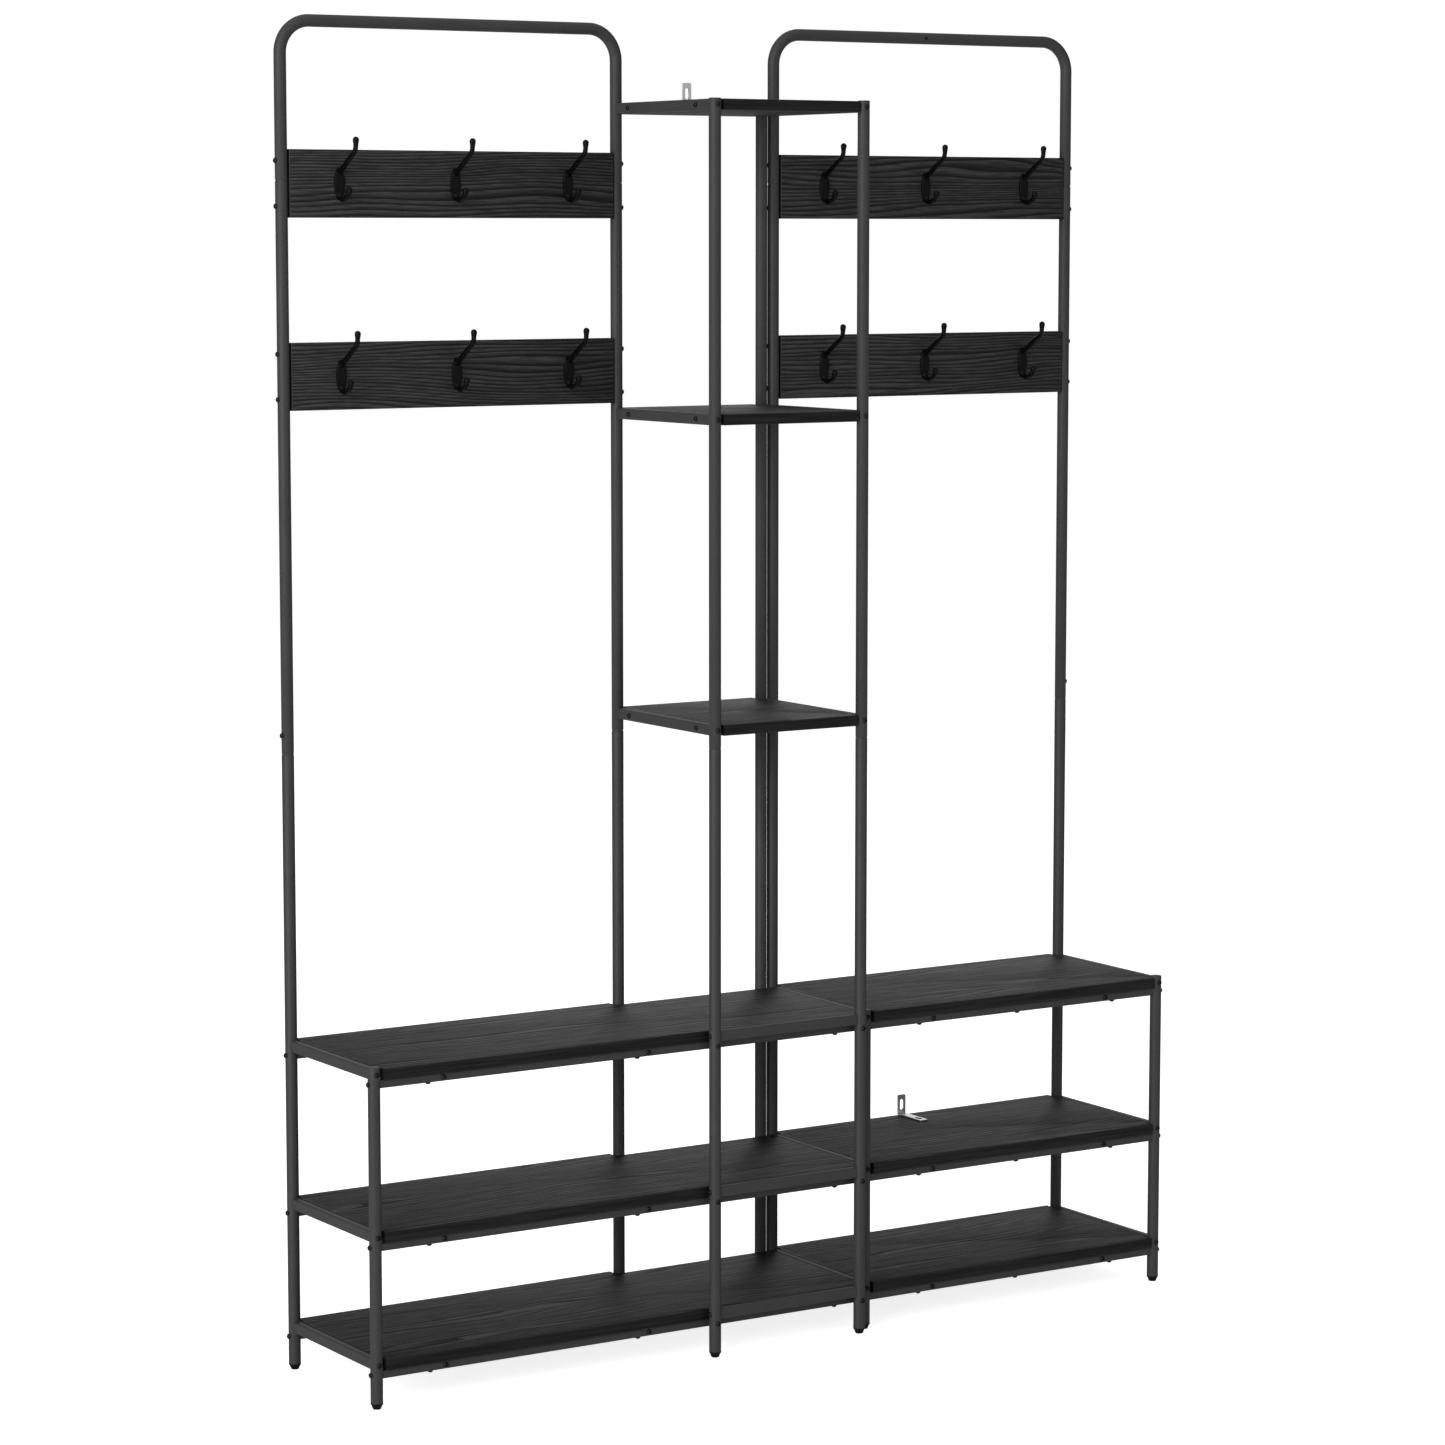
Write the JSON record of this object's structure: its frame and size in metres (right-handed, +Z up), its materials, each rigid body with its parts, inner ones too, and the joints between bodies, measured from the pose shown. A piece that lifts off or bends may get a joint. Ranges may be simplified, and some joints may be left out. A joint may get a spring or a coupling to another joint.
{
  "type": "hall tree",
  "caption": "Tube-framed hall tree with tiered shoe benches, an open shelf tower between two hoops, and hook boards carrying double coat hooks.",
  "frame": {"origin": "on the floor, under the middle of the bounding box", "axes": "+X to the right seen from the front, +Y towards the wall, +Z up"},
  "size_m": [1.3086, 0.2722, 1.825],
  "materials": {
    "tube": "black powder coat on steel tube, satin with a fine grain",
    "board": "black oak decor on engineered wood, semi-gloss with fine open grain",
    "hook": "black paint on cast metal, semi-gloss",
    "zinc": "bright zinc plate on pressed steel",
    "foot_plastic": "black moulded plastic foot plugs and caps",
    "fastener": "black screws and bolts with socket heads"
  },
  "bodies": {
    "root": {"left_hoop_frame": "tube", "right_hoop_frame": "tube", "tower_back_post": "tube", "tower_front_post_left": "tube", "tower_front_post_right": "tube", "bench_front_post_left": "tube", "bench_front_post_middle": "tube", "bench_front_post_right": "tube", "bench_left_end_rail_lower": "tube", "bench_middle_end_rail_lower": "tube", "bench_right_end_rail_lower": "tube", "tower_front_rail_lower": "tube", "long_under_frame_lower": "tube", "short_under_frame_lower": "tube", "bench_left_end_rail_middle": "tube", "bench_middle_end_rail_middle": "tube", "bench_right_end_rail_middle": "tube", "tower_front_rail_middle": "tube", "long_under_frame_middle": "tube", "short_under_frame_middle": "tube", "bench_left_end_rail_seat": "tube", "bench_middle_end_rail_seat": "tube", "bench_right_end_rail_seat": "tube", "tower_front_rail_seat": "tube", "long_under_frame_seat": "tube", "short_under_frame_seat": "tube", "tower_left_side_rail_lower": "tube", "tower_right_side_rail_lower": "tube", "tower_left_side_rail_upper": "tube", "tower_right_side_rail_upper": "tube", "tower_left_side_rail_top": "tube", "tower_right_side_rail_top": "tube", "long_board_lower": "board", "short_board_lower": "board", "long_board_middle": "board", "short_board_middle": "board", "long_board_seat": "board", "short_board_seat": "board", "tower_board_lower": "board", "tower_board_upper": "board", "tower_board_top": "board", "left_hook_board_lower": "board", "left_lower_hook_1": "hook", "left_lower_hook_2": "hook", "left_lower_hook_3": "hook", "left_hook_board_upper": "board", "left_upper_hook_1": "hook", "left_upper_hook_2": "hook", "left_upper_hook_3": "hook", "right_hook_board_lower": "board", "right_lower_hook_1": "hook", "right_lower_hook_2": "hook", "right_lower_hook_3": "hook", "right_hook_board_upper": "board", "right_upper_hook_1": "hook", "right_upper_hook_2": "hook", "right_upper_hook_3": "hook", "tower_wall_bracket": "zinc", "bench_wall_bracket": "zinc"}
  },
  "joints": []
}
